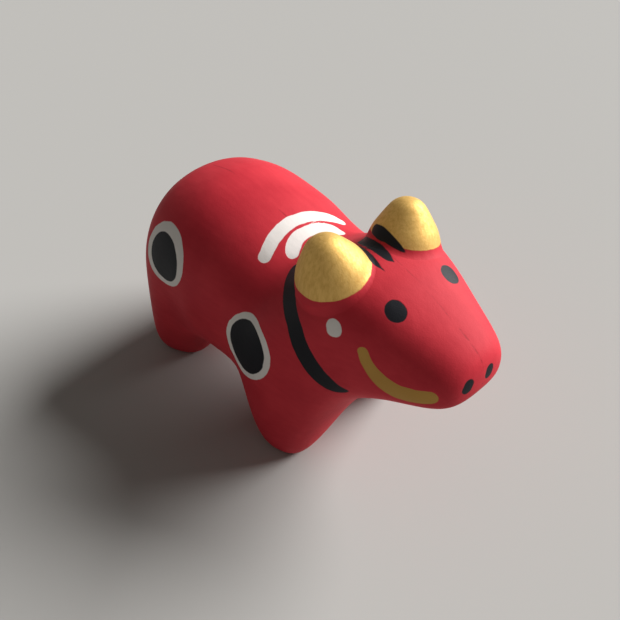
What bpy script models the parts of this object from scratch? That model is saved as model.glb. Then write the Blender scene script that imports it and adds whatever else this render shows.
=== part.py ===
"""Red ox folk figure, pressed in clay in two half shells, with luted horns and a loose pellet inside.

Metres, +Z up, +X towards the nose, +Y towards the figure's left. The origin is on the table, under the
middle of the figure.
"""
import math

import bmesh
import bpy
import numpy as np
from mathutils import Matrix, Vector

MM = 0.001
WELD = 0.01 * MM

# Side view: where the ridge of the back and head runs
RUMP_X = -34.5 * MM
NOSE_X = 34.5 * MM
RUMP_TOP = 35.0 * MM
LOIN_X, LOIN_HEIGHT = -19.0 * MM, 38.2 * MM
BACK_X, BACK_HEIGHT = -7.0 * MM, 36.6 * MM
NECK_X, NECK_HEIGHT = 1.8 * MM, 34.0 * MM
NAPE_X, NAPE_HEIGHT = 7.8 * MM, 38.0 * MM
POLL_X, POLL_HEIGHT = 13.8 * MM, 41.8 * MM
BROW_X, BROW_HEIGHT = 20.8 * MM, 40.6 * MM
NOSE_TOP = 34.4 * MM

# Side view: the underside of the body, throat and jaw
RUMP_BOTTOM = 8.0 * MM
HAUNCH_X, HAUNCH_BOTTOM = -25.0 * MM, 7.0 * MM
BELLY_X, BELLY_BOTTOM = -12.0 * MM, 8.7 * MM
BRISKET_X, BRISKET_BOTTOM = 6.0 * MM, 7.5 * MM
CHEST_X, CHEST_BOTTOM = 11.0 * MM, 8.8 * MM
THROAT_X, THROAT_BOTTOM = 15.0 * MM, 14.7 * MM
JAW_X, JAW_BOTTOM = 23.0 * MM, 22.4 * MM
NOSE_BOTTOM = 27.7 * MM

# Plan view: half widths
RUMP_HALF = 13.7 * MM
HAUNCH_HALF = 16.5 * MM
BELLY_HALF = 15.8 * MM
WAIST_X, WAIST_HALF = -3.0 * MM, 14.7 * MM
SHOULDER_X, SHOULDER_HALF = 4.0 * MM, 15.5 * MM
COLLAR_X, COLLAR_HALF = 9.0 * MM, 14.3 * MM
CHEEK_X, CHEEK_HALF = 16.0 * MM, 12.8 * MM
MUZZLE_X, MUZZLE_HALF = 24.0 * MM, 9.9 * MM
NOSE_HALF = 6.15 * MM

# Rounding of the two ends, and how boxy the sections are
RUMP_ROUND = 9.2 * MM
NOSE_ROUND = 5.0 * MM
END_SQUARENESS, NOSE_END_SQUARENESS = 2.4, 3.6
BODY_SQUARENESS, POLL_SQUARENESS, NOSE_SQUARENESS = 2.3, 3.4, 2.2
KEEL_SQUARENESS, JAW_SQUARENESS = 3.3, 2.8
RUMP_GIRTH, BODY_GIRTH, HEAD_GIRTH = 0.28, 0.52, 0.32

# Stub legs, drawn down out of the body
REAR_LEG_BACK, REAR_LEG_FRONT = -32.9 * MM, -17.9 * MM
FRONT_LEG_BACK, FRONT_LEG_FRONT = 1.3 * MM, 13.95 * MM
REAR_LEG_SPLAY, FRONT_LEG_SPLAY = (0.3, -0.3), (0.11, 0.11)
LEG_EDGE = 7.2 * MM
FOOT_SINK = 0.95 * MM

# Cage: ring spacing, the angles of its columns from the ridge down to the keel, and the share of the way
# to the ground that each column is drawn down in a leg
RING_STEP = 3.4 * MM
END_ANGLES = (0.0, 30.0, 58.0, 82.0)
COLUMN_ANGLES = (0.0, 22.0, 44.0, 64.0, 82.0, 98.0, 114.0, 130.0, 150.0, 166.0, 180.0)
COLUMN_REACH = (0.0, 0.0, 0.0, 0.0, 0.0, 0.58, 0.8, 1.0, 1.0, 0.65, 0.0)

# Clay wall, hollow and sounding slot
WALL = 3.0 * MM
HOLLOW_FRONT = 8.0 * MM
HOLLOW_ROUND = 6.0 * MM
HOLLOW_SQUARENESS = 2.6
HOLLOW_GIRTH = 0.5
FLOOR_X, FLOOR_HEIGHT, FLOOR_RADIUS = -12.0 * MM, 12.0 * MM, 26.0 * MM
SLOT_WIDTH, SLOT_LENGTH = 4.8 * MM, 21.2 * MM
SLOT_END_RADIUS = 0.49 * SLOT_WIDTH
SLOT_END_SEGMENTS = 6
PELLET_RADIUS = 4.5 * MM
PELLET_SEGMENTS, PELLET_RINGS = 16, 10
PELLET_CLEARANCE = 0.3 * MM
SEAM_GAP = 0.3 * MM

# Horns: blunt cones luted on the head by hand, so the right one stands a little wider and further back
HORN_BEHIND_POLL, HORN_APART, HORN_SINK = 0.45 * MM, 6.05 * MM, 3.4 * MM
HORN_UNEVEN_X, HORN_UNEVEN_Y = 0.75 * MM, 0.7 * MM
HORN_RADIUS, HORN_HEIGHT, HORN_TIP_RADIUS = 5.65 * MM, 7.7 * MM, 3.33 * MM
HORN_WAIST_RADIUS, HORN_WAIST_HEIGHT = 4.75 * MM, 3.08 * MM
HORN_ROOT_RADIUS, HORN_ROOT_DEPTH = 4.6 * MM, 3.0 * MM
HORN_LEAN_BACK, HORN_LEAN_OUT = 9.0, 13.0
HORN_CLEARANCE = 0.3 * MM
HORN_TIP_ANGLES = (20.0, 40.0, 60.0)
HORN_SIDES = 24

# Finish: matt red paint, brushed gold paint, bare clay
RED = (0.52, 0.030, 0.050, 1.0)
GOLD = (0.62, 0.40, 0.10, 1.0)
CLAY = (0.55, 0.30, 0.17, 1.0)
RED_ROUGHNESS, GOLD_ROUGHNESS, CLAY_ROUGHNESS = 0.75, 0.42, 0.9
GOLD_METALLIC = 0.6


def clear_scene():
    """Remove everything, so that the figure is the only thing in the file."""
    for item in list(bpy.data.objects):
        bpy.data.objects.remove(item, do_unlink=True)


def new_collection(name):
    """Add an empty collection to the scene."""
    group = bpy.data.collections.new(name)
    bpy.context.scene.collection.children.link(group)
    return group


def new_material(name, colour, roughness, metallic):
    """A Principled material of one colour."""
    material = bpy.data.materials.new(name)
    material.use_nodes = True
    shader = material.node_tree.nodes["Principled BSDF"]
    shader.inputs["Base Color"].default_value = colour
    shader.inputs["Roughness"].default_value = roughness
    shader.inputs["Metallic"].default_value = metallic
    return material


def ease(start, end, x):
    """Rise smoothly from 0 at start to 1 at end."""
    t = np.clip((x - start) / (end - start), 0.0, 1.0)
    return t * t * (3.0 - 2.0 * t)


def ridge(x):
    """Height of the top outline."""
    return np.interp(x, (RUMP_X, HAUNCH_X, LOIN_X, BACK_X, NECK_X, NAPE_X, POLL_X, BROW_X, NOSE_X),
                     (RUMP_TOP, (RUMP_TOP + LOIN_HEIGHT) / 2, LOIN_HEIGHT, BACK_HEIGHT, NECK_HEIGHT,
                      NAPE_HEIGHT, POLL_HEIGHT, BROW_HEIGHT, NOSE_TOP))


def keel(x):
    """Height of the bottom outline between the legs."""
    return np.interp(x, (RUMP_X, HAUNCH_X, BELLY_X, BRISKET_X, CHEST_X, THROAT_X, JAW_X, NOSE_X),
                     (RUMP_BOTTOM, HAUNCH_BOTTOM, BELLY_BOTTOM, BRISKET_BOTTOM, CHEST_BOTTOM,
                      THROAT_BOTTOM, JAW_BOTTOM, NOSE_BOTTOM))


def flank(x):
    """Half width in plan."""
    return np.interp(x, (RUMP_X, HAUNCH_X, BELLY_X, WAIST_X, SHOULDER_X, COLLAR_X, CHEEK_X, MUZZLE_X, NOSE_X),
                     (RUMP_HALF, HAUNCH_HALF, BELLY_HALF, WAIST_HALF, SHOULDER_HALF, COLLAR_HALF,
                      CHEEK_HALF, MUZZLE_HALF, NOSE_HALF))


def hollow_floor(x):
    """Height of the hollow's floor: a round bowl, in which the pellet rolls to and fro."""
    reach = np.minimum(np.abs(x - FLOOR_X), FLOOR_RADIUS)
    return FLOOR_HEIGHT + FLOOR_RADIUS - np.sqrt(FLOOR_RADIUS ** 2 - reach ** 2)


def end_rings(squareness):
    """Scales and insets of the rings that close an end, on a quarter of a superellipse."""
    angle = np.radians(END_ANGLES)
    return np.sin(angle) ** (2 / squareness), 1 - np.cos(angle) ** (2 / squareness)


def stations(back, front, back_round, front_round, front_squareness):
    """Ring positions and scales: both ends close in a rounded cap, and rings stand evenly between."""
    back_scale, back_inset = end_rings(END_SQUARENESS)
    front_scale, front_inset = end_rings(front_squareness)
    x_back = back + back_round * back_inset
    x_front = front - front_round * front_inset
    count = math.ceil((x_front[-1] - x_back[-1]) / RING_STEP)
    x_mid = np.linspace(x_back[-1], x_front[-1], count + 1)[1:-1]
    x = np.concatenate([x_back, x_mid, x_front[::-1]])
    return x, np.concatenate([back_scale, np.ones(len(x_mid)), front_scale[::-1]])


def section_points(x, scale, top, bottom, half, girth, top_power, bottom_power):
    """Rings of superellipse quarters, one point for each column, on the figure's right side.

    The points stand a little outside the section, because a subdivided cage draws in.
    """
    angle = np.radians(COLUMN_ANGLES)
    swell = 3 / (2 + math.cos(math.pi / (len(COLUMN_ANGLES) - 1)))
    middle = bottom + girth * (top - bottom)
    up = np.cos(angle)[None, :]
    power = np.where(up >= 0, 2 / top_power[:, None], 2 / bottom_power[:, None])
    rise = np.where(up >= 0, (top - middle)[:, None], (middle - bottom)[:, None])
    y = -swell * (half * scale)[:, None] * np.sin(angle).clip(0)[None, :] ** power
    z = middle[:, None] + swell * rise * scale[:, None] * np.sign(up) * np.abs(up) ** power
    return np.stack([np.repeat(x[:, None], len(angle), axis=1), y, z], axis=-1)


def draw_legs_down(points):
    """Draw the lower columns down to the ground inside the two legs' stretches.

    They also go out by the splay, which runs evenly from a leg's back to its front.
    """
    x = points[:, 0, 0]
    rear_leg = (REAR_LEG_BACK, REAR_LEG_FRONT, REAR_LEG_SPLAY)
    front_leg = (FRONT_LEG_BACK, FRONT_LEG_FRONT, FRONT_LEG_SPLAY)
    for back, front, (splay_back, splay_front) in (rear_leg, front_leg):
        here = ease(back - LEG_EDGE / 2, back + LEG_EDGE / 2, x)
        here = here * (1 - ease(front - LEG_EDGE / 2, front + LEG_EDGE / 2, x))
        reach = here[:, None] * np.array(COLUMN_REACH)
        points[..., 2] = (1 - reach) * points[..., 2] - reach * FOOT_SINK
        splay = splay_back + (splay_front - splay_back) * (x - back) / (front - back)
        points[..., 1] = (1 + reach * splay[:, None]) * points[..., 1]
    return points


def skin_rings(grow):
    """Rings of the outside of the figure, or of a form that stands off it by grow."""
    x, scale = stations(RUMP_X - grow, NOSE_X + grow, RUMP_ROUND, NOSE_ROUND, NOSE_END_SQUARENESS)
    power_x = (RUMP_X, NECK_X, POLL_X, NOSE_X)
    top_power = np.interp(x, power_x, (BODY_SQUARENESS, BODY_SQUARENESS, POLL_SQUARENESS, NOSE_SQUARENESS))
    bottom_power = np.interp(x, power_x, (KEEL_SQUARENESS, KEEL_SQUARENESS, JAW_SQUARENESS, JAW_SQUARENESS))
    girth = np.interp(x, (RUMP_X, BACK_X, NOSE_X), (RUMP_GIRTH, BODY_GIRTH, HEAD_GIRTH))
    points = section_points(x, scale, ridge(x) + grow, keel(x) - grow, flank(x) + grow, girth,
                            top_power, bottom_power)
    return draw_legs_down(points)


def hollow_rings():
    """Rings of the hollow: a wall's thickness inside the skin, over the bowl-shaped floor."""
    x, scale = stations(RUMP_X + WALL, HOLLOW_FRONT, HOLLOW_ROUND, HOLLOW_ROUND, END_SQUARENESS)
    floor = np.maximum(hollow_floor(x), keel(x) + WALL)
    even = np.full(len(x), HOLLOW_SQUARENESS)
    girth = np.full(len(x), HOLLOW_GIRTH)
    return section_points(x, scale, ridge(x) - WALL, floor, flank(x) - WALL, girth, even, even)


def closed_form(name, points, group):
    """Close rings into a half cage with a point at each end, mirror it, subdivide it and keep the mesh."""
    rings = points[1:-1]
    ring_count, column_count = rings.shape[:2]
    ends = points[[0, -1], 0]
    vertices = np.concatenate([rings.reshape(-1, 3), ends])
    first_end = ring_count * column_count
    faces = []
    for ring in range(ring_count - 1):
        for column in range(column_count - 1):
            corner = ring * column_count + column
            faces.append((corner, corner + 1, corner + column_count + 1, corner + column_count))
    last_ring = (ring_count - 1) * column_count
    for column in range(column_count - 1):
        faces.append((column + 1, column, first_end))
        faces.append((last_ring + column, last_ring + column + 1, first_end + 1))
    cage_mesh = bpy.data.meshes.new(name + "_cage")
    cage_mesh.from_pydata(vertices.tolist(), [], faces)
    cage = bpy.data.objects.new(name + "_cage", cage_mesh)
    group.objects.link(cage)
    mirror = cage.modifiers.new("both sides", "MIRROR")
    mirror.use_axis = (False, True, False)
    mirror.merge_threshold = WELD
    smooth = cage.modifiers.new("round", "SUBSURF")
    smooth.levels = 1
    smooth.render_levels = 1
    bpy.context.view_layer.update()
    evaluated = cage.evaluated_get(bpy.context.evaluated_depsgraph_get())
    mesh = bpy.data.meshes.new_from_object(evaluated)
    bpy.data.objects.remove(cage, do_unlink=True)
    tidy = bmesh.new()
    tidy.from_mesh(mesh)
    bmesh.ops.recalc_face_normals(tidy, faces=tidy.faces)
    tidy.to_mesh(mesh)
    tidy.free()
    mesh.shade_smooth()
    form = bpy.data.objects.new(name, mesh)
    group.objects.link(form)
    return form


def hide_cutter(cutter):
    """A cutter shows as a wire and is no piece of the figure."""
    cutter.hide_render = True
    cutter.display_type = "WIRE"
    return cutter


def box_cutter(name, low, high, group):
    """A box between two corners."""
    mesh = bpy.data.meshes.new(name)
    shape = bmesh.new()
    bmesh.ops.create_cube(shape, size=1.0)
    size = Vector(high) - Vector(low)
    bmesh.ops.scale(shape, vec=size, verts=shape.verts)
    bmesh.ops.translate(shape, vec=(Vector(low) + Vector(high)) / 2, verts=shape.verts)
    shape.to_mesh(mesh)
    shape.free()
    cutter = bpy.data.objects.new(name, mesh)
    group.objects.link(cutter)
    return hide_cutter(cutter)


def slot_cutter(group):
    """The sounding slot: an upright block with round ends, through the belly into the hollow."""
    mesh = bpy.data.meshes.new("sounding_slot")
    shape = bmesh.new()
    bmesh.ops.create_cube(shape, size=1.0)
    height = FLOOR_HEIGHT + PELLET_RADIUS
    bmesh.ops.scale(shape, vec=(SLOT_LENGTH, SLOT_WIDTH, height), verts=shape.verts)
    bmesh.ops.translate(shape, vec=(FLOOR_X, 0.0, height / 2), verts=shape.verts)
    upright = [edge for edge in shape.edges if abs(edge.verts[0].co.z - edge.verts[1].co.z) > height / 2]
    bmesh.ops.bevel(shape, geom=upright, offset=SLOT_END_RADIUS, segments=SLOT_END_SEGMENTS,
                     affect="EDGES")
    shape.to_mesh(mesh)
    shape.free()
    cutter = bpy.data.objects.new("sounding_slot", mesh)
    group.objects.link(cutter)
    return hide_cutter(cutter)


def cut(piece, cutter):
    """Take the cutter's shape out of a piece."""
    step = piece.modifiers.new("without " + cutter.name, "BOOLEAN")
    step.operation = "DIFFERENCE"
    step.solver = "EXACT"
    step.object = cutter


def make_shell(name, side, hollow, slot, floor, material, parts, cutters):
    """One half of the figure: the skin on one side of the seam, less the hollow, the slot and the ground."""
    shell = closed_form(name, skin_rings(0.0), parts)
    reach = 4 * max(HAUNCH_HALF, POLL_HEIGHT)
    seam = side * SEAM_GAP / 2
    far = -side * reach
    other_side = box_cutter(name + "_other_side", (-reach, min(seam, far), -reach),
                            (reach, max(seam, far), reach), cutters)
    for cutter in (hollow, slot, floor, other_side):
        cut(shell, cutter)
    shell.data.materials.append(material)
    return shell


def make_horn(name, side, seat, material, parts):
    """A blunt cone turned about its own axis, leaned back and out, and fitted to the head."""
    mesh = bpy.data.meshes.new(name)
    tip_height = HORN_HEIGHT - HORN_TIP_RADIUS
    profile = [(0.0, HORN_HEIGHT)]
    for degrees in HORN_TIP_ANGLES:
        angle = math.radians(degrees)
        profile.append((HORN_TIP_RADIUS * math.sin(angle), tip_height + HORN_TIP_RADIUS * math.cos(angle)))
    profile.append((HORN_WAIST_RADIUS, HORN_WAIST_HEIGHT))
    profile.append((HORN_RADIUS, 0.0))
    profile.append((HORN_ROOT_RADIUS, -HORN_ROOT_DEPTH))
    profile.append((0.0, -HORN_ROOT_DEPTH))
    edges = [(index, index + 1) for index in range(len(profile) - 1)]
    mesh.from_pydata([(radius, 0.0, height) for radius, height in profile], edges, [])
    horn = bpy.data.objects.new(name, mesh)
    parts.objects.link(horn)
    turned = horn.modifiers.new("turned", "SCREW")
    turned.steps = HORN_SIDES
    turned.render_steps = HORN_SIDES
    turned.use_merge_vertices = True
    turned.merge_threshold = WELD
    lean = Matrix.Rotation(math.radians(-side * HORN_LEAN_OUT), 4, "X")
    lean = lean @ Matrix.Rotation(math.radians(-HORN_LEAN_BACK), 4, "Y")
    foot_x = POLL_X - HORN_BEHIND_POLL + side * HORN_UNEVEN_X
    foot_y = side * HORN_APART - HORN_UNEVEN_Y
    foot_z = POLL_HEIGHT - HORN_SINK
    place = Matrix.Translation((foot_x, foot_y, foot_z))
    horn.matrix_world = place @ lean
    cut(horn, seat)
    mesh.materials.append(material)
    return horn


def make_pellet(material, parts):
    """The loose pellet, hung from an empty on the axis about which it rolls in the bowl."""
    axis = bpy.data.objects.new("pellet_axis", None)
    axis.location = (FLOOR_X, 0.0, FLOOR_HEIGHT + FLOOR_RADIUS)
    parts.objects.link(axis)
    mesh = bpy.data.meshes.new("clay_pellet")
    ball = bmesh.new()
    bmesh.ops.create_uvsphere(ball, u_segments=PELLET_SEGMENTS, v_segments=PELLET_RINGS, radius=PELLET_RADIUS)
    ball.to_mesh(mesh)
    ball.free()
    mesh.shade_smooth()
    mesh.materials.append(material)
    pellet = bpy.data.objects.new("clay_pellet", mesh)
    parts.objects.link(pellet)
    pellet.parent = axis
    pellet.location = (0.0, 0.0, PELLET_RADIUS + PELLET_CLEARANCE - FLOOR_RADIUS)
    return pellet


def main():
    clear_scene()
    parts = new_collection("red_ox")
    cutters = new_collection("cutters")
    hollow = hide_cutter(closed_form("hollow", hollow_rings(), cutters))
    seat = hide_cutter(closed_form("horn_seat", skin_rings(HORN_CLEARANCE), cutters))
    slot = slot_cutter(cutters)
    span = 2 * NOSE_X
    ground = box_cutter("ground", (-span, -span, -span), (span, span, 0.0), cutters)
    for name, side in (("left", 1), ("right", -1)):
        red = new_material(name + "_red_paint", RED, RED_ROUGHNESS, 0.0)
        gold = new_material(name + "_gold_paint", GOLD, GOLD_ROUGHNESS, GOLD_METALLIC)
        make_shell(name + "_shell", side, hollow, slot, ground, red, parts, cutters)
        make_horn(name + "_horn", side, seat, gold, parts)
    make_pellet(new_material("bare_clay", CLAY, CLAY_ROUGHNESS, 0.0), parts)


main()
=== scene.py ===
# %% [markdown]
# A red clay ox, painted by hand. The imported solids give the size, the bodies and the one moving piece.
# This lesson dresses them: every visible surface is worked out as a grid of points with numpy, painted
# with node materials, and told which body it rides on.

# %% Load the frame
import math

import bpy
import numpy as np
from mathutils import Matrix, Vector


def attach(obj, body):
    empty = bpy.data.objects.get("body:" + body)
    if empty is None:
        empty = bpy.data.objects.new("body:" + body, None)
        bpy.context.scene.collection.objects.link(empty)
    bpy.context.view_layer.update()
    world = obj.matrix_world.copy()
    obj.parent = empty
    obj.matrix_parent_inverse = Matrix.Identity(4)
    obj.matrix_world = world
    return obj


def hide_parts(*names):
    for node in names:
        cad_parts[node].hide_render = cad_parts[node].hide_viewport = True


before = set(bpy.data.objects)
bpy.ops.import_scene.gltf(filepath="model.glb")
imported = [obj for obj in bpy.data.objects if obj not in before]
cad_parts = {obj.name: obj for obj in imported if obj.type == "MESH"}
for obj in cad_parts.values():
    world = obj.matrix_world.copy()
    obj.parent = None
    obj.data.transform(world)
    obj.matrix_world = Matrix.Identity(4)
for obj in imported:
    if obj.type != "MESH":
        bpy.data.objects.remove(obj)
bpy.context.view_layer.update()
MM = 0.001

# %% [markdown]
# The ox is pressed in a two-part mould: rump, back, neck, head and four stub legs are one rounded form.
# It could be sculpted, but a moulded form is easier to hold to its size when it is drawn as a maker draws
# it: a side outline for the back, one for the belly, and a plan outline for the flanks. All lengths are
# in millimetres, with +x towards the nose and +z up.

# %% Outlines of the moulded form
RUMP_X, NOSE_X = -34.5, 34.5
RIDGE = np.array([(RUMP_X, 35.0), (-25.0, 36.6), (-19.0, 38.2), (-7.0, 36.6), (1.8, 34.0), (7.8, 38.0),
                  (13.8, 41.8), (20.8, 40.6), (NOSE_X, 34.4)])
KEEL = np.array([(RUMP_X, 8.0), (-25.0, 7.0), (-12.0, 8.7), (6.0, 7.5), (11.0, 8.8), (15.0, 14.7),
                 (23.0, 22.4), (NOSE_X, 27.7)])
FLANK = np.array([(RUMP_X, 13.7), (-25.0, 16.5), (-12.0, 15.8), (-3.0, 14.7), (4.0, 15.5), (9.0, 14.3),
                  (16.0, 12.8), (24.0, 9.9), (NOSE_X, 6.15)])
TOP_SQUARENESS = np.array([(RUMP_X, 2.3), (1.8, 2.3), (13.8, 3.4), (NOSE_X, 2.2)])
BOTTOM_SQUARENESS = np.array([(RUMP_X, 3.3), (1.8, 3.3), (13.8, 2.8), (NOSE_X, 2.8)])
GIRTH = np.array([(RUMP_X, 0.28), (-7.0, 0.52), (NOSE_X, 0.32)])


def read_off(outline, x):
    """The height of an outline at x, on straight lines between its points."""
    return np.interp(x, outline[:, 0], outline[:, 1])


print("back rises to", RIDGE[:, 1].max(), "mm and the flanks reach", FLANK[:, 1].max(), "mm to each side")

# %% [markdown]
# Across the body the form is a rounded box. A superellipse gives that with one number, its squareness: 2
# is an ellipse, and larger numbers are boxier. Rings of points stand along the body, closer together
# where the two ends round off, and together they are the cage that a smooth surface will follow.

# %% Rings of the cage
END_ANGLES = np.radians([0.0, 30.0, 58.0, 82.0])
END_SQUARENESS, NOSE_END_SQUARENESS = 2.4, 3.6
RING_STEP = 3.4
COLUMN_ANGLES = np.radians([0.0, 22.0, 44.0, 64.0, 82.0, 98.0, 114.0, 130.0, 150.0, 166.0, 180.0])
CAGE_SWELL = 3 / (2 + math.cos(math.pi / (len(COLUMN_ANGLES) - 1)))
RUMP_ROUND, NOSE_ROUND = 9.2, 5.0


def end_rings(squareness):
    """Scales and insets of the rings that close an end, on a quarter of a superellipse."""
    return np.sin(END_ANGLES) ** (2 / squareness), 1 - np.cos(END_ANGLES) ** (2 / squareness)


def stations(back, front, back_round, front_round, front_squareness):
    """Places and scales of the rings: a superellipse quarter closes each end, even steps lie between."""
    back_scale, back_inset = end_rings(END_SQUARENESS)
    front_scale, front_inset = end_rings(front_squareness)
    x_back = back + back_round * back_inset
    x_front = front - front_round * front_inset
    count = math.ceil((x_front[-1] - x_back[-1]) / RING_STEP)
    x_middle = np.linspace(x_back[-1], x_front[-1], count + 1)[1:-1]
    x = np.concatenate([x_back, x_middle, x_front[::-1]])
    return x, np.concatenate([back_scale, np.ones(len(x_middle)), front_scale[::-1]])


def section_rings(x, scale, top, bottom, half, girth, top_power, bottom_power):
    """Half rings from the ridge to the keel: y goes as sine and z as cosine, each to 2 / squareness."""
    middle = bottom + girth * (top - bottom)
    up = np.cos(COLUMN_ANGLES)[None, :]
    power = np.where(up >= 0, 2 / top_power[:, None], 2 / bottom_power[:, None])
    rise = np.where(up >= 0, (top - middle)[:, None], (middle - bottom)[:, None])
    y = -CAGE_SWELL * (half * scale)[:, None] * np.sin(COLUMN_ANGLES).clip(0)[None, :] ** power
    z = middle[:, None] + CAGE_SWELL * rise * scale[:, None] * np.sign(up) * np.abs(up) ** power
    return np.stack([np.repeat(x[:, None], up.shape[1], axis=1), y, z], axis=-1), middle


skin_x, skin_scale = stations(RUMP_X, NOSE_X, RUMP_ROUND, NOSE_ROUND, NOSE_END_SQUARENESS)
skin_cage, skin_middle = section_rings(
    skin_x, skin_scale, read_off(RIDGE, skin_x), read_off(KEEL, skin_x), read_off(FLANK, skin_x),
    read_off(GIRTH, skin_x), read_off(TOP_SQUARENESS, skin_x), read_off(BOTTOM_SQUARENESS, skin_x))
print("cage of", skin_cage.shape[0], "rings with", skin_cage.shape[1], "points on each side")

# %% [markdown]
# The legs aren't stuck on. The clay is pressed down into the mould, so the belly simply runs down into
# four stubs. In the cage that is a pull: inside each leg's stretch the lower points go most of the way to
# the ground, and the blend at the stretch's edges gives the soft arch between the legs. A splay also moves
# them out from the seam, or in where it is below zero. It runs evenly from the back of a leg to its front,
# so the rear feet can turn their toes in.

# %% Legs drawn down
REAR_LEG = {"back": -32.9, "front": -17.9, "splay_back": 0.3, "splay_front": -0.3}
FRONT_LEG = {"back": 1.3, "front": 13.95, "splay_back": 0.11, "splay_front": 0.11}
LEG_EDGE, FOOT_SINK = 7.2, 0.95
COLUMN_REACH = np.array([0.0, 0.0, 0.0, 0.0, 0.0, 0.58, 0.80, 1.0, 1.0, 0.65, 0.0])


def ease(start, end, x):
    """A smooth step, 3 t squared less 2 t cubed, from 0 at start to 1 at end."""
    t = np.clip((x - start) / (end - start), 0.0, 1.0)
    return t * t * (3.0 - 2.0 * t)


def draw_down(cage, x, back, front, splay_back, splay_front):
    """Inside a leg's stretch, z goes under the ground by the column's reach, and y grows by the splay."""
    here = ease(back - LEG_EDGE / 2, back + LEG_EDGE / 2, x)
    here = here * (1 - ease(front - LEG_EDGE / 2, front + LEG_EDGE / 2, x))
    reach = here[:, None] * COLUMN_REACH
    splay = splay_back + (splay_front - splay_back) * (x - back) / (front - back)
    cage[..., 2] = (1 - reach) * cage[..., 2] - reach * FOOT_SINK
    cage[..., 1] *= 1 + reach * splay[:, None]


for leg in (REAR_LEG, FRONT_LEG):
    draw_down(skin_cage, skin_x, **leg)
print("lowest cage point", round(float(skin_cage[..., 2].min()), 2), "mm, before the feet are flattened")

# %% [markdown]
# A cage turns into a smooth skin in the same way as a subdivision surface does, but here the limit is
# worked out directly: a cubic B-spline along the rings, and then along the columns. Mirrored rows beyond
# the ridge and the keel make the two halves meet without a crease. In the belly the columns stop at the
# lip of the sounding slot, a narrow opening that lets the rattle out.

# %% From a cage to a smooth surface
ROWS, COLUMNS, TRIAL_COLUMNS = 211, 151, 801
SLOT_X, SLOT_WIDTH, SLOT_LENGTH = -12.0, 4.8, 21.2
OTHER_SIDE = np.array([1.0, -1.0, 1.0])


def spline_weights(f):
    """The four weights of a uniform cubic B-spline at the fraction f of a span, each a cubic in f over 6."""
    near, far = 3 * f ** 3 - 6 * f ** 2 + 4, -3 * f ** 3 + 3 * f ** 2 + 3 * f + 1
    return np.stack([(1 - f) ** 3, near, far, f ** 3]) / 6


def across_rings(cage, middle, place):
    """Spline rows; beyond each end stands the next ring turned half round, so the end closes in a dome."""
    ends = [1, -2]
    turned = cage[ends] * np.array([1.0, -1.0, -1.0])
    turned[..., 2] += 2 * middle[ends][:, None]
    padded = np.concatenate([turned[:1], cage, turned[1:]])
    first = np.minimum(place.astype(int), len(cage) - 2)
    weight = spline_weights(place - first)
    return sum(weight[k][:, None, None] * padded[first + k] for k in range(4))


def across_columns(rows, place):
    """Spline points at their own column places in each row, with mirrored columns beyond both edges."""
    padded = np.concatenate([rows[:, 1:2] * OTHER_SIDE, rows, rows[:, -2:-1] * OTHER_SIDE], axis=1)
    first = np.minimum(place.astype(int), rows.shape[1] - 2)
    weight = spline_weights(place - first)
    row = np.arange(len(rows))[:, None]
    return sum(weight[k][..., None] * padded[row, first + k] for k in range(4))


def slot_half_width(x):
    """Half the width of a slot with round ends: a straight stretch, and then a circle's fall to nothing."""
    radius = SLOT_WIDTH / 2
    past = np.clip(np.abs(x - SLOT_X) - (SLOT_LENGTH / 2 - radius), 0.0, radius)
    return np.sqrt(radius ** 2 - past ** 2)


def smooth_half(cage, middle, place):
    """The surface of one half at places along the rings, from the ridge to the keel or the slot's lip.

    A first, dense run of columns finds where each row enters the slot. The final columns stop there.
    """
    rows = across_rings(cage, middle, place)
    last = rows.shape[1] - 1
    trial_place = np.linspace(0, last, TRIAL_COLUMNS)
    trial = across_columns(rows, np.broadcast_to(trial_place, (ROWS, TRIAL_COLUMNS)))
    in_slot = np.abs(trial[..., 1]) < slot_half_width(trial[..., 0])
    in_slot[:, :TRIAL_COLUMNS // 2] = False
    stop = np.where(in_slot.any(axis=1), trial_place[in_slot.argmax(axis=1)], last)
    return across_columns(rows, stop[:, None] * np.linspace(0.0, 1.0, COLUMNS))


outer = smooth_half(skin_cage, skin_middle, np.linspace(0, len(skin_cage) - 1, ROWS))
outer[..., 2] = outer[..., 2].clip(0.0)
print("skin", outer.shape, "spans", outer.min(axis=(0, 1)).round(2), "to", outer.max(axis=(0, 1)).round(2))

# %% [markdown]
# The figure is a shell. Behind a wall of clay lies the hollow where the pellet rattles, with a floor
# bowed like a dish. It is a second, smaller form of the same kind, so the same functions make it. Its rows
# keep pace with those of the skin as far as the neck, so that a straight link between the two stays in
# the clay.

# %% The hollow
WALL = 3.0
HOLLOW_FRONT, HOLLOW_ROUND, HOLLOW_SQUARENESS, HOLLOW_GIRTH = 8.0, 6.0, 2.6, 0.5
FLOOR_HEIGHT, FLOOR_RADIUS = 12.0, 26.0
KEEP_PACE_TO = 3.0

hollow_x, hollow_scale = stations(RUMP_X + WALL, HOLLOW_FRONT, HOLLOW_ROUND, HOLLOW_ROUND, END_SQUARENESS)
from_slot = np.minimum(np.abs(hollow_x - SLOT_X), FLOOR_RADIUS)
dish = FLOOR_HEIGHT + FLOOR_RADIUS - np.sqrt(FLOOR_RADIUS ** 2 - from_slot ** 2)
hollow_bottom = np.maximum(dish, read_off(KEEL, hollow_x) + WALL)
hollow_power = np.full(len(hollow_x), HOLLOW_SQUARENESS)
hollow_cage, hollow_middle = section_rings(
    hollow_x, hollow_scale, read_off(RIDGE, hollow_x) - WALL, hollow_bottom, read_off(FLANK, hollow_x) - WALL,
    HOLLOW_GIRTH, hollow_power, hollow_power)
fine_place = np.linspace(0, len(hollow_cage) - 1, TRIAL_COLUMNS)
fine_x = across_rings(hollow_cage, hollow_middle, fine_place)[:, 0, 0]
skin_row_x = outer[:, 0, 0]
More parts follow.
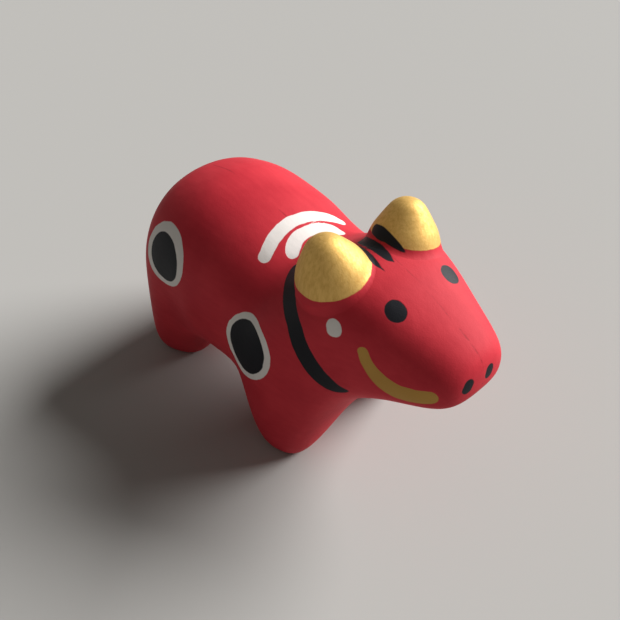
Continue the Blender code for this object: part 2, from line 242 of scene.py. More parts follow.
skin_ends, hollow_ends = skin_row_x[[0, -1]], fine_x[[0, -1]]
row_x = np.interp(skin_row_x, np.insert(skin_ends, 1, KEEP_PACE_TO), np.insert(hollow_ends, 1, KEEP_PACE_TO))
inner = smooth_half(hollow_cage, hollow_middle, np.interp(row_x, fine_x, fine_place))
print("hollow spans", inner.min(axis=(0, 1)).round(2), "to", inner.max(axis=(0, 1)).round(2))

# %% [markdown]
# The paint is what makes this ox: white arcs where a saddle would lie, ringed black spots, a neck band, a
# gold smile. Each mark could be an image, but an image would fix its sharpness. Here each mark is a
# signed distance, measured in millimetres at every point of the skin: below zero inside the mark, above
# zero outside. The material later cuts it at zero, so an edge stays crisp at any size.

# %% Distances to brush marks
STROKE_STEPS = 48
LEAST_SLOPE = 0.01


def smooth_path(points, steps):
    """A Catmull-Rom curve through the points: it passes each along the line between its neighbours."""
    before, after = 2 * points[:1] - points[1:2], 2 * points[-1:] - points[-2:-1]
    padded = np.concatenate([before, points, after])
    place = np.linspace(0, len(points) - 1, steps)
    span = np.minimum(place.astype(int), len(points) - 2)
    f = (place - span)[:, None]
    a, b, c, d = (padded[span + k] for k in range(4))
    bend, twist = 2 * a - 5 * b + 4 * c - d, 3 * b - a - 3 * c + d
    return 0.5 * (2 * b + (c - a) * f + bend * f ** 2 + twist * f ** 3)


def stroke_distance(points, brush):
    """The least, along a stroke, of the distance to its path less the half width there.

    A brush is rows of x, y, z and half width.
    """
    path = smooth_path(np.array(brush), STROKE_STEPS)
    gap = np.linalg.norm(points[:, None, :] - path[None, :, :3], axis=-1) - path[None, :, 3]
    return gap.min(axis=1)


def oval_distance(points, centre, half_axes, tilt):
    """Distance from a tilted oval in the side view: k (k - 1) over the slope of k, with k 1 on its edge."""
    along, up = points[:, 0] - centre[0], points[:, 2] - centre[1]
    turn = math.radians(tilt)
    u = along * math.cos(turn) + up * math.sin(turn)
    v = up * math.cos(turn) - along * math.sin(turn)
    k = np.hypot(u / half_axes[0], v / half_axes[1])
    slope = np.hypot(u / half_axes[0] ** 2, v / half_axes[1] ** 2)
    return k * (k - 1) / np.maximum(slope, LEAST_SLOPE)


print("a stroke is tested at", STROKE_STEPS, "places along its path")

# %% [markdown]
# The marks, in the order of the brush. Those of one flank are listed for the right side and mirrored for
# the left, as the painter works. The strokes of the forelock fan out from the poll, and the outer two
# run up against the feet of the horns.

# %% Where the marks lie
UPPER_SKIN = 17.5
WHITE_OVALS = (((-19.95, 27.35), (5.75, 5.25), 30.0), ((2.05, 22.3), (5.2, 6.5), -25.0))
BLACK_OVALS = (((-19.9, 27.12), (4.15, 4.02), -34.0), ((1.95, 22.35), (4.2, 5.25), -19.0))
CHEEK_DOT = ((17.3, -11.35, 35.85, 1.14), (17.5, -11.45, 35.5, 1.14))
NECK_BAND = ((2.9, -5.6, 34.4, 0.4), (4.1, -7.35, 34.5, 0.95), (7.9, -10.9, 34.7, 1.4),
             (11.0, -12.9, 32.9, 1.55), (12.9, -13.2, 29.9, 1.7), (15.2, -12.95, 27.0, 1.7),
             (17.5, -12.3, 25.3, 1.4), (19.0, -11.6, 24.8, 0.9), (20.6, -10.85, 25.2, 0.05))
SMILE = ((21.85, -10.25, 33.85, 0.76), (22.95, -10.15, 32.05, 0.92), (24.8, -9.65, 30.2, 1.25),
         (26.95, -8.9, 29.3, 1.4), (29.35, -8.0, 29.6, 1.26), (31.35, -7.05, 30.35, 1.06))
LEFT_BAND = ((6.3, -9.7, 34.9, 0.5),) + NECK_BAND[3:]
EYE = ((22.6, -5.45, 38.9, 1.45), (22.9, -5.45, 38.8, 1.45))
NOSTRIL_RIGHT = ((33.95, -3.05, 31.3, 0.86), (33.85, -2.75, 31.85, 0.86))
NOSTRIL_LEFT = ((34.25, 1.2, 31.4, 0.84), (34.1, 1.35, 31.95, 0.84))
FORELOCK_LEFT = ((11.6, 1.95, 42.1, 0.8), (12.95, 1.6, 42.4, 0.95), (14.35, 1.5, 42.4, 0.75),
                 (15.6, 1.58, 42.1, 0.58), (16.75, 1.82, 41.6, 0.38), (17.7, 2.12, 41.1, 0.03))
FORELOCK_MIDDLE = ((9.6, 1.4, 39.3, 0.75), (11.2, 0.8, 40.2, 0.76), (12.7, 0.15, 40.95, 0.78),
                   (14.25, -0.15, 41.25, 0.82), (15.7, -0.4, 41.25, 0.75), (16.7, -0.55, 41.2, 0.45),
                   (17.65, -0.45, 41.05, 0.03))
FORELOCK_RIGHT = ((10.0, -0.5, 39.3, 0.55), (11.6, -1.4, 40.2, 0.8), (13.3, -2.1, 41.0, 0.85),
                  (14.9, -2.45, 41.2, 0.65), (16.4, -2.6, 41.15, 0.36), (17.9, -2.66, 40.95, 0.03))
SADDLE_ARC_BEHIND = ((-2.2, -7.3, 1.05), (-3.3, -4.9, 1.12), (-3.95, -2.5, 1.13), (-4.27, 0.0, 1.13),
                     (-3.93, 3.0, 1.13), (-3.3, 5.1, 1.08), (-2.3, 7.0, 1.0), (-1.3, 8.2, 0.75))
SADDLE_ARC_BEFORE = ((0.5, -4.0, 0.95), (-0.35, -3.15, 1.18), (-1.2, -1.8, 1.2), (-1.5, 0.0, 1.15),
                     (-1.45, 1.9, 1.15), (-1.0, 3.5, 1.15), (-0.1, 4.9, 1.1), (1.2, 5.4, 0.85))
FORELOCK = (FORELOCK_LEFT, FORELOCK_MIDDLE, FORELOCK_RIGHT)
SADDLE_ARCS = (SADDLE_ARC_BEHIND, SADDLE_ARC_BEFORE)


def mirrored(brush):
    """A stroke on the other side of the seam."""
    return [(x, -y, z, half) for x, y, z, half in brush]


def laid_on_back(stroke):
    """A stroke drawn in plan, rows of x, y and half width, laid on the nearest point of the upper skin."""
    plan = np.array(stroke)
    skin = outer.reshape(-1, 3)
    skin = skin[skin[:, 2] > UPPER_SKIN]
    away = np.hypot(skin[None, :, 0] - plan[:, :1], np.abs(skin[None, :, 1]) - np.abs(plan[:, 1:2]))
    return np.insert(plan, 2, skin[away.argmin(axis=1), 2], axis=1)


def paint_distances(points):
    """White, gold and black distances at points of the skin, each the least over its marks."""
    white = [oval_distance(points, *oval) for oval in WHITE_OVALS]
    white += [stroke_distance(points, laid_on_back(arc)) for arc in SADDLE_ARCS]
    white += [stroke_distance(points, brush) for brush in (CHEEK_DOT, mirrored(CHEEK_DOT))]
    gold = [stroke_distance(points, brush) for brush in (SMILE, mirrored(SMILE))]
    black = [oval_distance(points, *oval) for oval in BLACK_OVALS]
    strokes = (NECK_BAND, mirrored(LEFT_BAND), EYE, mirrored(EYE), NOSTRIL_LEFT, NOSTRIL_RIGHT)
    black += [stroke_distance(points, brush) for brush in strokes]
    black.append(forelock_distance(points))
    coats = {"white_mm": white, "gold_mm": gold, "black_mm": black}
    return {name: np.min(marks, axis=0) for name, marks in coats.items()}


def forelock_distance(points):
    """Distance to the three strokes of the forelock."""
    return np.min([stroke_distance(points, brush) for brush in FORELOCK], axis=0)


print(len(WHITE_OVALS), "ringed spots a side,", len(SADDLE_ARCS), "arcs,", len(FORELOCK), "forelock strokes")

# %% [markdown]
# A half shell is now four strips of one closed surface: the painted skin, the bare inner wall, and two
# narrow rims where the halves are joined with slip. Both grids have the same rows and columns, so the
# rims only link equal edges, and each end of a grid is one single point.

# %% Closed half shells
def pole_numbers(first):
    """Vertex numbers of a grid whose first and last rows are one point each."""
    body = first + 2 + np.arange((ROWS - 2) * COLUMNS).reshape(ROWS - 2, COLUMNS)
    return np.vstack([np.full((1, COLUMNS), first), body, np.full((1, COLUMNS), first + 1)])


def pole_vertices(grid):
    """The two end points, and then the points between them row by row."""
    return np.concatenate([grid[[0, -1], 0], grid[1:-1].reshape(-1, 3)])


def patch_faces(numbers):
    """Quads between neighbouring rows and columns; where a row is one point, triangles."""
    corners = numbers[:-1, :-1], numbers[1:, :-1], numbers[1:, 1:], numbers[:-1, 1:]
    quads = np.stack(corners, axis=-1).reshape(-1, 4)
    start, end = quads[:, 0] == quads[:, 3], quads[:, 1] == quads[:, 2]
    return quads[~(start | end)].tolist() + quads[start][:, :3].tolist() + quads[end][:, [0, 1, 3]].tolist()


def new_piece(name, vertices, faces, smooth_faces):
    """A mesh object from points in millimetres; the first faces are smooth, the rest flat and sharp-edged."""
    mesh = bpy.data.meshes.new(name)
    mesh.from_pydata((vertices * MM).tolist(), [], faces)
    mesh.polygons.foreach_set("use_smooth", np.arange(len(faces)) < smooth_faces)
    corner_edge = np.empty(len(mesh.loops), np.int32)
    mesh.loops.foreach_get("edge_index", corner_edge)
    sharp = np.zeros(len(mesh.edges), bool)
    sharp[corner_edge[sum(map(len, faces[:smooth_faces])):]] = True
    mesh.edges.foreach_set("use_edge_sharp", sharp)
    piece = bpy.data.objects.new(name, mesh)
    bpy.context.scene.collection.objects.link(piece)
    return piece


def store(piece, name, values):
    """Keep one number at each point of the mesh, for the material to read."""
    piece.data.attributes.new(name, "FLOAT", "POINT").data.foreach_set("value", values.astype(np.float32))


def half_shell(name, side):
    """Skin, inner wall and rims of one half; on the left the points are mirrored and the faces turned."""
    flip = np.array([1.0, -side, 1.0])
    skin_numbers = pole_numbers(0)
    wall_numbers = pole_numbers(2 + (ROWS - 2) * COLUMNS)
    vertices = np.concatenate([pole_vertices(outer), pole_vertices(inner)]) * flip
    faces = patch_faces(skin_numbers) + patch_faces(wall_numbers[:, ::-1])
    smooth_faces = len(faces)
    for edge in (0, -1):
        rim = np.stack([wall_numbers[:, edge], skin_numbers[:, edge]], axis=1)
        faces += patch_faces(rim if edge == 0 else rim[:, ::-1])
    if side > 0:
        faces = [face[::-1] for face in faces]
    piece = new_piece(name, vertices, faces, smooth_faces)
    for mark, values in paint_distances(vertices).items():
        store(piece, mark, values)
    store(piece, "inside", (np.arange(len(vertices)) >= len(vertices) // 2).astype(float))
    return piece


right_shell = half_shell("painted_right_shell", -1)
left_shell = half_shell("painted_left_shell", 1)
print("each half shell has", len(right_shell.data.polygons), "faces")

# %% [markdown]
# The horns were set on the poll by hand and smoothed on with slip, so their lower edge follows the head.
# A boolean could find that edge, but it leaves a hard line. Here the head is a cloud of points with
# directions, and the one nearest to a place tells how high that place lies over the skin.

# %% Where a horn meets the head
HEAD_STRIDE = 2
HEAD_BACK, HEAD_BASE = 1.0, 33.0
NEAREST_BATCHES = 40
LEAST_LENGTH = 1e-9


def surface_normals(grid):
    """Unit directions out of a grid: the cross product of its steps along columns and rows."""
    out = np.cross(np.gradient(grid, axis=1), np.gradient(grid, axis=0))
    return out / np.maximum(np.linalg.norm(out, axis=-1, keepdims=True), LEAST_LENGTH)


head_skin = outer[::HEAD_STRIDE, ::HEAD_STRIDE]
on_head = (head_skin[..., 0] > HEAD_BACK) & (head_skin[..., 2] > HEAD_BASE)
head_points, head_normals = head_skin[on_head], surface_normals(head_skin)[on_head]
head_points = np.concatenate([head_points, head_points * OTHER_SIDE])
head_normals = np.concatenate([head_normals, head_normals * OTHER_SIDE])


def above_head(points):
    """Height over the head, and the head's direction there, from the skin point nearest to each point."""
    flat = points.reshape(-1, 3)
    batches = np.array_split(flat, NEAREST_BATCHES)
    away = (np.linalg.norm(batch[:, None] - head_points, axis=-1) for batch in batches)
    nearest = np.concatenate([gaps.argmin(axis=1) for gaps in away])
    out = head_normals[nearest]
    height = ((flat - head_points[nearest]) * out).sum(axis=-1)
    return height.reshape(points.shape[:-1]), out.reshape(points.shape)


print("head skin of", len(head_points), "points, mean direction", head_normals.mean(axis=0).round(2))

# %% [markdown]
# A horn is a blunt cone of clay, and the two aren't quite a pair. A lathe profile gives the cone. Each of
# its meridians is traced down until it meets the skin, and a small curve then carries it out along the
# skin, as a wet finger would. The gold stops a little short of that, along a sloping line.

# %% Horns
HORN_FOOT, HORN_UNEVEN = np.array([13.35, 6.05, 38.4]), np.array([0.75, -0.7, 0.0])
HORN_LEAN_BACK, HORN_LEAN_OUT = 9.0, 13.0
HORN_PROFILE = np.array([(0.0, 7.7), (1.14, 7.5), (2.14, 6.92), (2.9, 6.02), (3.9, 4.5), (4.72, 3.1),
                         (5.35, 1.4), (5.65, 0.0), (5.5, -1.4), (4.6, -3.0)])
HORN_SIDES, CONE_ROWS, FILLET_ROWS, HORN_TRIALS = 144, 48, 13, 140
FILLET_RISE, FILLET_REACH, BEDDING = 1.0, 1.1, 0.04
GOLD_LEVEL, GOLD_SLOPE_X, GOLD_SLOPE_Y = 42.1, 0.06, 0.27


def turn_about(axis, degrees):
    """A rotation matrix about x or y."""
    c, s = math.cos(math.radians(degrees)), math.sin(math.radians(degrees))
    if axis == "x":
        return np.array([[1, 0, 0], [0, c, -s], [0, s, c]])
    return np.array([[c, 0, s], [0, 1, 0], [-s, 0, c]])


def horn(name, side):
    """A lathed cone from the tip down, then a fillet, and then a closing point in the clay.

    The fillet is a quadratic Bezier curve on each meridian: it leaves the cone a little over the skin,
    heads for the place where the cone would meet the skin, and ends on the skin further out.
    """
    lean = turn_about("x", -side * HORN_LEAN_OUT) @ turn_about("y", -HORN_LEAN_BACK)
    foot = (HORN_FOOT + side * HORN_UNEVEN) * np.array([1.0, side, 1.0])
    angle = np.linspace(0, 2 * math.pi, HORN_SIDES, endpoint=False)
    profile = smooth_path(HORN_PROFILE, HORN_TRIALS)
    radius, height = profile[:, :1], profile[:, 1:]
    local = np.stack(np.broadcast_arrays(radius * np.cos(angle), radius * np.sin(angle), height), axis=-1)
    cone = local @ lean.T + foot
    over = above_head(cone)[0]
    around = np.arange(HORN_SIDES)
    leave = (over < FILLET_RISE).argmax(axis=0)
    meet = (over < 0.0).argmax(axis=0)
    step = np.linspace(0.0, 1.0, CONE_ROWS)[:, None] * leave
    low = np.minimum(step.astype(int), HORN_TRIALS - 2)
    part = (step - low)[..., None]
    rows = (1 - part) * cone[low, around] + part * cone[low + 1, around]
    start, corner = rows[-1], cone[meet, around]
    outward = corner - corner.mean(axis=0)
    outward[:, 2] = 0.0
    end = corner + FILLET_REACH * outward / np.linalg.norm(outward, axis=-1, keepdims=True)
    rise, out = above_head(end)
    end = end - (rise[:, None] + BEDDING) * out
    t = np.linspace(0.0, 1.0, FILLET_ROWS)[1:, None, None]
    fillet = (1 - t) ** 2 * start + 2 * t * (1 - t) * corner + t ** 2 * end
    grid = np.concatenate([rows, fillet])
    root = corner.mean(axis=0) - np.array([0.0, 0.0, WALL])
    vertices = np.concatenate([grid[:1, 0], root[None], grid[1:].reshape(-1, 3)])
    body = 2 + np.arange((len(grid) - 1) * HORN_SIDES).reshape(len(grid) - 1, HORN_SIDES)
    numbers = np.vstack([np.zeros((1, HORN_SIDES), int), body, np.ones((1, HORN_SIDES), int)])
    faces = patch_faces(np.hstack([numbers, numbers[:, :1]]))
    piece = new_piece(name, vertices, faces, len(faces))
    forward, aside = vertices[:, 0] - HORN_FOOT[0], np.abs(vertices[:, 1])
    gold_line = GOLD_LEVEL + GOLD_SLOPE_X * forward - GOLD_SLOPE_Y * aside
    store(piece, "gold_mm", gold_line - vertices[:, 2])
    store(piece, "black_mm", forelock_distance(vertices))
    return piece


right_horn = horn("gilded_right_horn", -1)
left_horn = horn("gilded_left_horn", 1)
print("each horn has", len(right_horn.data.polygons), "faces")

# %% [markdown]
# The pellet is a scrap of clay rolled between two fingers and fired with the figure. A ball with a few
# slow swells, none of them past its true radius, looks rolled and not turned.

# %% Pellet
PELLET_RADIUS, PELLET_LIFT = 4.5, 0.3
DENT_MEAN, DENT_SWING = 0.08, 0.04
MANY_WAVES, FEW_WAVES = 3, 2
PELLET_RINGS, PELLET_SIDES = 41, 64


def rolled_pellet():
    """A sphere by longitude and latitude, its radius less a dent that swings with waves along both."""
    polar = np.linspace(0, math.pi, PELLET_RINGS)[:, None]
    around = np.linspace(0, 2 * math.pi, PELLET_SIDES, endpoint=False)[None, :]
    wave = np.sin(MANY_WAVES * around + FEW_WAVES * polar) + np.cos(FEW_WAVES * around - MANY_WAVES * polar)
    radius = PELLET_RADIUS - DENT_MEAN - DENT_SWING * np.sin(polar) * wave
    level, height = radius * np.sin(polar), radius * np.cos(polar)
    ball = np.stack([level * np.cos(around), level * np.sin(around), height], axis=-1)
    ball = ball + np.array([SLOT_X, 0.0, FLOOR_HEIGHT + PELLET_LIFT + PELLET_RADIUS])
    vertices = np.concatenate([ball[[0, -1], 0], ball[1:-1].reshape(-1, 3)])
    body = 2 + np.arange((PELLET_RINGS - 2) * PELLET_SIDES).reshape(PELLET_RINGS - 2, PELLET_SIDES)
    numbers = np.vstack([np.zeros((1, PELLET_SIDES), int), body, np.ones((1, PELLET_SIDES), int)])
    faces = patch_faces(np.hstack([numbers, numbers[:, :1]]))
    return new_piece("rolled_pellet", vertices, faces, len(faces))


pellet = rolled_pellet()
print("pellet of", len(pellet.data.polygons), "faces")

# %% [markdown]
# A finish is a tree of shader nodes. It could be put together in the shader editor. In a script, a few
# small helpers keep it readable: each adds one kind of node and gives back the socket that comes next.

# %% Node helpers
def add(tree, kind, settings, feeds):
    """Add a shader node; settings are its properties, feeds are its input values or the sockets to link."""
    made = tree.nodes.new("ShaderNode" + kind)
    for name, value in settings.items():
        setattr(made, name, value)
    for key, value in feeds.items():
        if isinstance(value, bpy.types.NodeSocket):
            tree.links.new(value, made.inputs[key])
        else:
            made.inputs[key].default_value = value
    return made


def math_node(tree, operation, first, second):
    """A sum, product or other step on two numbers."""
    return add(tree, "Math", {"operation": operation}, {0: first, 1: second}).outputs[0]


def weighted_sum(tree, terms):
    """The sum of each number times its weight."""
    scaled = [math_node(tree, "MULTIPLY", value, weight) for value, weight in terms]
    total = scaled[0]
    for number in scaled[1:]:
        total = math_node(tree, "ADD", total, number)
    return total


def ramp(tree, value, start, end, low=0.0, high=1.0):
    """A straight ramp from low at start to high at end, held level beyond both."""
    return add(tree, "MapRange", {}, {0: value, 1: start, 2: end, 3: low, 4: high}).outputs[0]


def noise(tree, place, scale, detail, fall=0.5):
    """Cloudy noise about one half: layers of it, each twice as fine as the last and weaker by the fall."""
    feeds = {"Vector": place, "Scale": scale, "Detail": detail, "Roughness": fall}
    return add(tree, "TexNoise", {}, feeds).outputs[0]


def mix_colour(tree, mask, under, over):
    """Lay one colour over another where the mask is 1."""
    return add(tree, "Mix", {"data_type": "RGBA"}, {0: mask, 6: under, 7: over}).outputs[2]


def mix_value(tree, mask, under, over):
    """Go from one number to another where the mask is 1."""
    return add(tree, "Mix", {"data_type": "FLOAT"}, {0: mask, 2: under, 3: over}).outputs[0]


def new_group(name, inputs, outputs):
    """A node group with named number sockets."""
    tree = bpy.data.node_groups.new(name, "ShaderNodeTree")
    for label, value in inputs.items():
        socket = tree.interface.new_socket(label, in_out="INPUT", socket_type="NodeSocketFloat")
        socket.default_value = value
    for label in outputs:
        tree.interface.new_socket(label, in_out="OUTPUT", socket_type="NodeSocketFloat")
    return tree, tree.nodes.new("NodeGroupInput").outputs, tree.nodes.new("NodeGroupOutput").inputs


def use_group(tree, group, feeds):
    """Place a node group in a material with its own values."""
    return add(tree, "Group", {"node_tree": group}, feeds).outputs


print("node helpers stand ready in Blender", bpy.app.version_string)

# %% [markdown]
# Two effects come back in several finishes, so each is a node group, built once: the edge of a brush
# mark, with the wobble of a hand, and the grain of a matt paint on clay.

# %% Brush edge and paint grain
EDGE_INPUTS = {"Distance": 1.0, "Wobble": 0.1, "Softness": 0.06}
SKIN_FINENESS = 5200.0
SHAKE_SCALE, PATCH_SCALE, PRESS_SCALE = 620.0, 110.0, 420.0
PATCH_FALL = 0.6
FINE_RELIEF, PRESS_RELIEF = 0.35, 0.9

brush_edge, edge_in, edge_out = new_group("brush_edge", EDGE_INPUTS, ["Mask"])
place = add(brush_edge, "TexCoord", {}, {}).outputs["Object"]
shake = math_node(brush_edge, "SUBTRACT", noise(brush_edge, place, SHAKE_SCALE, 2.0), 0.5)
shake = math_node(brush_edge, "MULTIPLY", shake, edge_in["Wobble"])
shaken = math_node(brush_edge, "ADD", edge_in["Distance"], shake)
inward = math_node(brush_edge, "MULTIPLY", edge_in["Softness"], -1.0)
edge = ramp(brush_edge, shaken, inward, edge_in["Softness"], 1.0, 0.0)
brush_edge.links.new(edge, edge_out["Mask"])

paint_grain, grain_in, grain_out = new_group("paint_grain", {"Fineness": SKIN_FINENESS}, ["Tone", "Height"])
place = add(paint_grain, "TexCoord", {}, {}).outputs["Object"]
fine = noise(paint_grain, place, grain_in["Fineness"], 3.0)
broad = noise(paint_grain, place, PATCH_SCALE, 3.0, PATCH_FALL)
pressed = noise(paint_grain, place, PRESS_SCALE, 2.0)
height = weighted_sum(paint_grain, ((fine, FINE_RELIEF), (pressed, PRESS_RELIEF)))
paint_grain.links.new(broad, grain_out["Tone"])
paint_grain.links.new(height, grain_out["Height"])
print("node groups", brush_edge.name, "and", paint_grain.name)

# %% [markdown]
# The skin is matt red paint over clay, a little uneven where the brush ran thin. White lies on the red,
# gold and black on both. Each coat stands proud by a hair, so its mask also lifts the bump. A faint line
# along the middle is the mould's seam, rubbed down but not gone.

# %% Red skin with painted marks
RED_THIN, RED_FULL = (0.60, 0.037, 0.052, 1.0), (0.51, 0.026, 0.040, 1.0)
WHITE, BLACK = (0.80, 0.76, 0.72, 1.0), (0.012, 0.0125, 0.016, 1.0)
SMILE_BRIGHT, SMILE_DEEP = (0.50, 0.30, 0.08, 1.0), (0.36, 0.19, 0.04, 1.0)
CLAY_PALE, CLAY_DARK = (0.58, 0.33, 0.20, 1.0), (0.44, 0.22, 0.12, 1.0)
RED_ROUGH, BLACK_ROUGH, GOLD_ROUGH, CLAY_ROUGH = 0.6, 0.5, 0.58, 0.9
GOLD_METAL = 0.5
SEAM_DARK, SEAM_TINT = (0.20, 0.012, 0.018, 1.0), 0.45
STREAK_SCALE, STREAK_FALL = (120.0, 1100.0, 1100.0), 0.6
PATCH_TONE, STREAK_TONE = 0.7, 0.3
TONE_FROM, TONE_TO = 0.36, 0.64
WORN_FROM, WORN_TO = 0.48, 0.60
FREE_WOBBLE, NEAT_WOBBLE = 0.30, 0.24
PAINT_RELIEF, SEAM_REACH = 0.05 * MM, 0.22 * MM
COAT_RISE, STREAK_RISE, SEAM_FALL = 0.30, 0.30, -0.15
MATT_SPECULAR = 0.11


def new_material(name):
    """A Principled material; returns its tree and shader."""
    material = bpy.data.materials.new(name)
    material.use_nodes = True
    shader = material.node_tree.nodes["Principled BSDF"]
    shader.inputs["Specular IOR Level"].default_value = MATT_SPECULAR
    return material, material.node_tree, shader


def attribute(tree, name):
    """A number kept at the points of the mesh."""
    return add(tree, "Attribute", {"attribute_name": name}, {}).outputs["Fac"]


def bump(tree, shader, height, distance):
    """Turn a height from 0 to 1 into a tilt of the surface."""
    tilt = add(tree, "Bump", {}, {"Strength": 1.0, "Distance": distance, "Height": height})
    tree.links.new(tilt.outputs[0], shader.inputs["Normal"])


def coat_mask(tree, name, wobble):
    """The mask of one coat of paint: 1 where its distance, kept on the mesh, is below zero."""
    return use_group(tree, brush_edge, {"Distance": attribute(tree, name), "Wobble": wobble})["Mask"]


def streaks(tree, place, scale, detail):
    """Noise drawn out along one axis, by stretching the place before the noise reads it."""
    drawn = add(tree, "Mapping", {}, {"Vector": place, "Scale": scale}).outputs[0]
    return noise(tree, drawn, 1.0, detail, STREAK_FALL)


def worn_seam(tree, place, streak):
    """A line that fades over a smooth step away from y 0, kept only where the streaks are high."""
    across = math_node(tree, "ABSOLUTE", add(tree, "SeparateXYZ", {}, {0: place}).outputs[1], 0.0)
    line = add(tree, "MapRange", {"interpolation_type": "SMOOTHSTEP"},
               {0: across, 1: 0.0, 2: SEAM_REACH, 3: 1.0, 4: 0.0}).outputs[0]
    return math_node(tree, "MULTIPLY", line, ramp(tree, streak, WORN_FROM, WORN_TO))


def red_skin():
    """Red by a weighted sum of patches and streaks, then each coat laid over it by its mask."""
    material, tree, shader = new_material("red_painted_clay")
    white = coat_mask(tree, "white_mm", FREE_WOBBLE)
    gold = coat_mask(tree, "gold_mm", NEAT_WOBBLE)
    black = coat_mask(tree, "black_mm", NEAT_WOBBLE)
    grain = use_group(tree, paint_grain, {})
    inside = attribute(tree, "inside")
    place = add(tree, "TexCoord", {}, {}).outputs["Object"]
    streak = streaks(tree, place, STREAK_SCALE, 3.0)
    seam = worn_seam(tree, place, streak)
    tone = weighted_sum(tree, ((grain["Tone"], PATCH_TONE), (streak, STREAK_TONE)))
    colour = mix_colour(tree, ramp(tree, tone, TONE_FROM, TONE_TO), RED_THIN, RED_FULL)
    colour = mix_colour(tree, math_node(tree, "MULTIPLY", seam, SEAM_TINT), colour, SEAM_DARK)
    colour = mix_colour(tree, white, colour, WHITE)
    colour = mix_colour(tree, gold, colour, mix_colour(tree, grain["Tone"], SMILE_BRIGHT, SMILE_DEEP))
    colour = mix_colour(tree, black, colour, BLACK)
    colour = mix_colour(tree, inside, colour, mix_colour(tree, grain["Tone"], CLAY_PALE, CLAY_DARK))
    tree.links.new(colour, shader.inputs["Base Color"])
    rough = mix_value(tree, gold, mix_value(tree, black, RED_ROUGH, BLACK_ROUGH), GOLD_ROUGH)
    tree.links.new(mix_value(tree, inside, rough, CLAY_ROUGH), shader.inputs["Roughness"])
    tree.links.new(math_node(tree, "MULTIPLY", gold, GOLD_METAL), shader.inputs["Metallic"])
    coats = ((white, COAT_RISE), (black, COAT_RISE), (gold, COAT_RISE))
    height = weighted_sum(tree, coats + ((grain["Height"], 1.0), (streak, STREAK_RISE), (seam, SEAM_FALL)))
    bump(tree, shader, height, PAINT_RELIEF)
    return material


skin_finish = red_skin()
print("finish", skin_finish.name)

# %% [markdown]
# The horns are brushed with gold paint. Metal powder lies along the strokes, so the colour and the gloss
# run in streaks from tip to foot, with thin places where a darker ground shows. The pellet was never
# painted, so it shows the fired clay.

# %% Gilded horns and bare clay
GOLD_BRIGHT, GOLD_DEEP = (0.76, 0.49, 0.155, 1.0), (0.47, 0.25, 0.045, 1.0)
HORN_FINENESS, CLAY_FINENESS = 4200.0, 2600.0
GILDING_SCALE = (2400.0, 2400.0, 500.0)
THIN_FROM, THIN_TO, THIN_LEAST, THIN_MOST = 0.40, 0.75, 0.1, 0.55
DULL_FROM, DULL_TO, DULL_SWING = 0.3, 0.7, 0.06


def gilded_horn():
    """Gold by streaks from bright to deep above the gold line, red below it, with the forelock on top."""
    material, tree, shader = new_material("brushed_gold_paint")
    place = add(tree, "TexCoord", {}, {}).outputs["Object"]
    streak = streaks(tree, place, GILDING_SCALE, 4.0)
    grain = use_group(tree, paint_grain, {"Fineness": HORN_FINENESS})
    gold = coat_mask(tree, "gold_mm", FREE_WOBBLE)
    black = coat_mask(tree, "black_mm", NEAT_WOBBLE)
    thin = ramp(tree, streak, THIN_FROM, THIN_TO, THIN_LEAST, THIN_MOST)
    ground = mix_colour(tree, grain["Tone"], RED_THIN, RED_FULL)
    colour = mix_colour(tree, gold, ground, mix_colour(tree, thin, GOLD_BRIGHT, GOLD_DEEP))
    tree.links.new(mix_colour(tree, black, colour, BLACK), shader.inputs["Base Color"])
    dull = ramp(tree, streak, DULL_FROM, DULL_TO, GOLD_ROUGH - DULL_SWING, GOLD_ROUGH + DULL_SWING)
    rough = mix_value(tree, black, mix_value(tree, gold, RED_ROUGH, dull), BLACK_ROUGH)
    tree.links.new(rough, shader.inputs["Roughness"])
    metal = mix_value(tree, black, math_node(tree, "MULTIPLY", gold, GOLD_METAL), 0.0)
    tree.links.new(metal, shader.inputs["Metallic"])
    height = ((streak, STREAK_RISE), (grain["Height"], 1.0), (gold, COAT_RISE), (black, COAT_RISE))
    bump(tree, shader, weighted_sum(tree, height), PAINT_RELIEF)
    return material


def bare_clay():
    """Two clay colours mixed by the patches of the grain, with twice the relief of paint."""
    material, tree, shader = new_material("bare_fired_clay")
    grain = use_group(tree, paint_grain, {"Fineness": CLAY_FINENESS})
    tree.links.new(mix_colour(tree, grain["Tone"], CLAY_PALE, CLAY_DARK), shader.inputs["Base Color"])
    shader.inputs["Roughness"].default_value = CLAY_ROUGH
    bump(tree, shader, grain["Height"], 2 * PAINT_RELIEF)
    return material


horn_finish = gilded_horn()
clay_finish = bare_clay()
print("finishes", horn_finish.name, "and", clay_finish.name)

# %% [markdown]
# Each row lists a piece, the body that it rides on, the solid that it stands for, the slot of the record that
# its finish belongs to, and the finish. The piece gets the finish and rides on the body, and the solid is
# hidden.

# %% Ride on the frame
PIECES = ((left_shell, "figure", "left_shell", "red_paint_left", skin_finish),
          (right_shell, "figure", "right_shell", "red_paint_right", skin_finish),
          (left_horn, "figure", "left_horn", "gold_paint_left", horn_finish),
          (right_horn, "figure", "right_horn", "gold_paint_right", horn_finish),
          (pellet, "pellet", "clay_pellet", "bare_clay", clay_finish))
for piece, body, node_name, slot, finish in PIECES:
    piece.data.materials.append(finish)
    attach(piece, body)
    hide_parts(node_name)
print(len(PIECES), "pieces ride on", sorted({entry[1] for entry in PIECES}))

# %% [markdown]
# The stage is a plain pale floor. The light is one large soft window to the ox's left and a little
# behind, which leaves its right side in soft shade, with a dim room to fill the shadows. The room looks
# paler to the camera and in reflections than it lights.

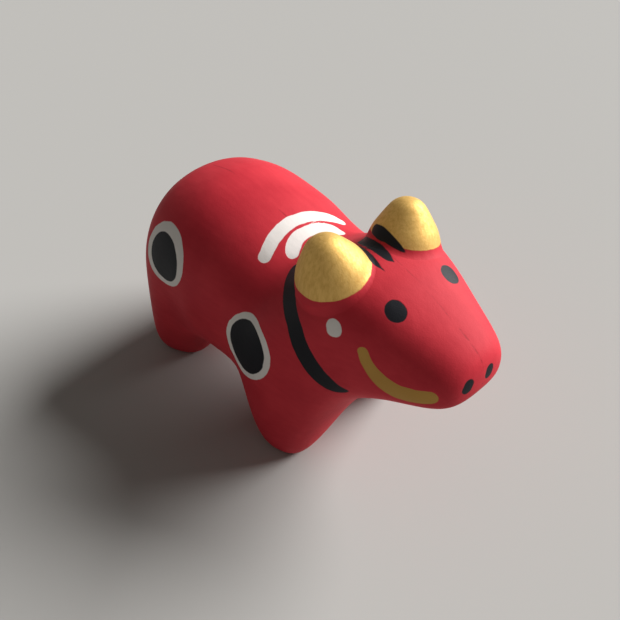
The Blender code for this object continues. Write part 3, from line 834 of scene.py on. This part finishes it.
# %% Floor, light and room
FLOOR_COLOUR, FLOOR_ROUGH = (0.47, 0.46, 0.44, 1.0), 0.9
FLOOR_HALF = 1.5
FLOOR_CORNERS = np.array([(-1, -1, 0), (1, -1, 0), (1, 1, 0), (-1, 1, 0)])
ROOM_COLOUR, ROOM_STRENGTH, ROOM_SEEN = (1.0, 0.96, 0.90, 1.0), 0.12, 0.42
WINDOW_FROM, WINDOW_SPREAD, WINDOW_STRENGTH = Vector((0.24, 0.81, 0.48)), 42.0, 6.4

floor_mesh = bpy.data.meshes.new("floor")
floor_mesh.from_pydata((FLOOR_HALF * FLOOR_CORNERS).tolist(), [], [(0, 1, 2, 3)])
floor = bpy.data.objects.new("floor", floor_mesh)
bpy.context.scene.collection.objects.link(floor)
floor_finish, floor_tree, floor_shader = new_material("pale_floor")
floor_shader.inputs["Base Color"].default_value = FLOOR_COLOUR
floor_shader.inputs["Roughness"].default_value = FLOOR_ROUGH
floor_mesh.materials.append(floor_finish)

window_light = bpy.data.lights.new("window", "SUN")
window_light.angle = math.radians(WINDOW_SPREAD)
window_light.energy = WINDOW_STRENGTH
window = bpy.data.objects.new("window", window_light)
window.location = WINDOW_FROM
window.rotation_euler = WINDOW_FROM.to_track_quat("Z", "Y").to_euler()
bpy.context.scene.collection.objects.link(window)

world = bpy.data.worlds.new("room")
world.use_nodes = True
room = world.node_tree.nodes["Background"]
room.inputs["Color"].default_value = ROOM_COLOUR
ray = add(world.node_tree, "LightPath", {}, {}).outputs
seen = math_node(world.node_tree, "MAXIMUM", ray["Is Camera Ray"], ray["Is Glossy Ray"])
seen = math_node(world.node_tree, "MAXIMUM", seen, ray["Is Transmission Ray"])
strength = mix_value(world.node_tree, seen, ROOM_STRENGTH, ROOM_SEEN)
world.node_tree.links.new(strength, room.inputs["Strength"])
bpy.context.scene.world = world
bpy.context.scene.view_settings.view_transform = "Standard"
print("window light from", WINDOW_FROM.normalized())

# %% [markdown]
# The camera stands where the photograph was taken from: about a hand's width above the table, off the
# right side of the head, looking down across it. Its height, heading and lens come from the picture's
# perspective.

# %% Camera
CAMERA_PLACE = (62.7, -56.4, 100.0)
CAMERA_TILT, CAMERA_HEADING = 46.31, 48.0
FOCAL_PIXELS, IMAGE_SIDE, SENSOR_WIDTH = 681.0, 620.0, 36.0
NEAREST_SEEN = 5.0

camera_data = bpy.data.cameras.new("camera")
camera_data.sensor_width = SENSOR_WIDTH
camera_data.lens = FOCAL_PIXELS / IMAGE_SIDE * SENSOR_WIDTH
camera_data.clip_start = NEAREST_SEEN * MM
camera = bpy.data.objects.new("camera", camera_data)
camera.location = [value * MM for value in CAMERA_PLACE]
camera.rotation_euler = (math.radians(CAMERA_TILT), 0.0, math.radians(CAMERA_HEADING))
bpy.context.scene.collection.objects.link(camera)
bpy.context.scene.camera = camera
print("lens", round(camera_data.lens, 1), "mm")
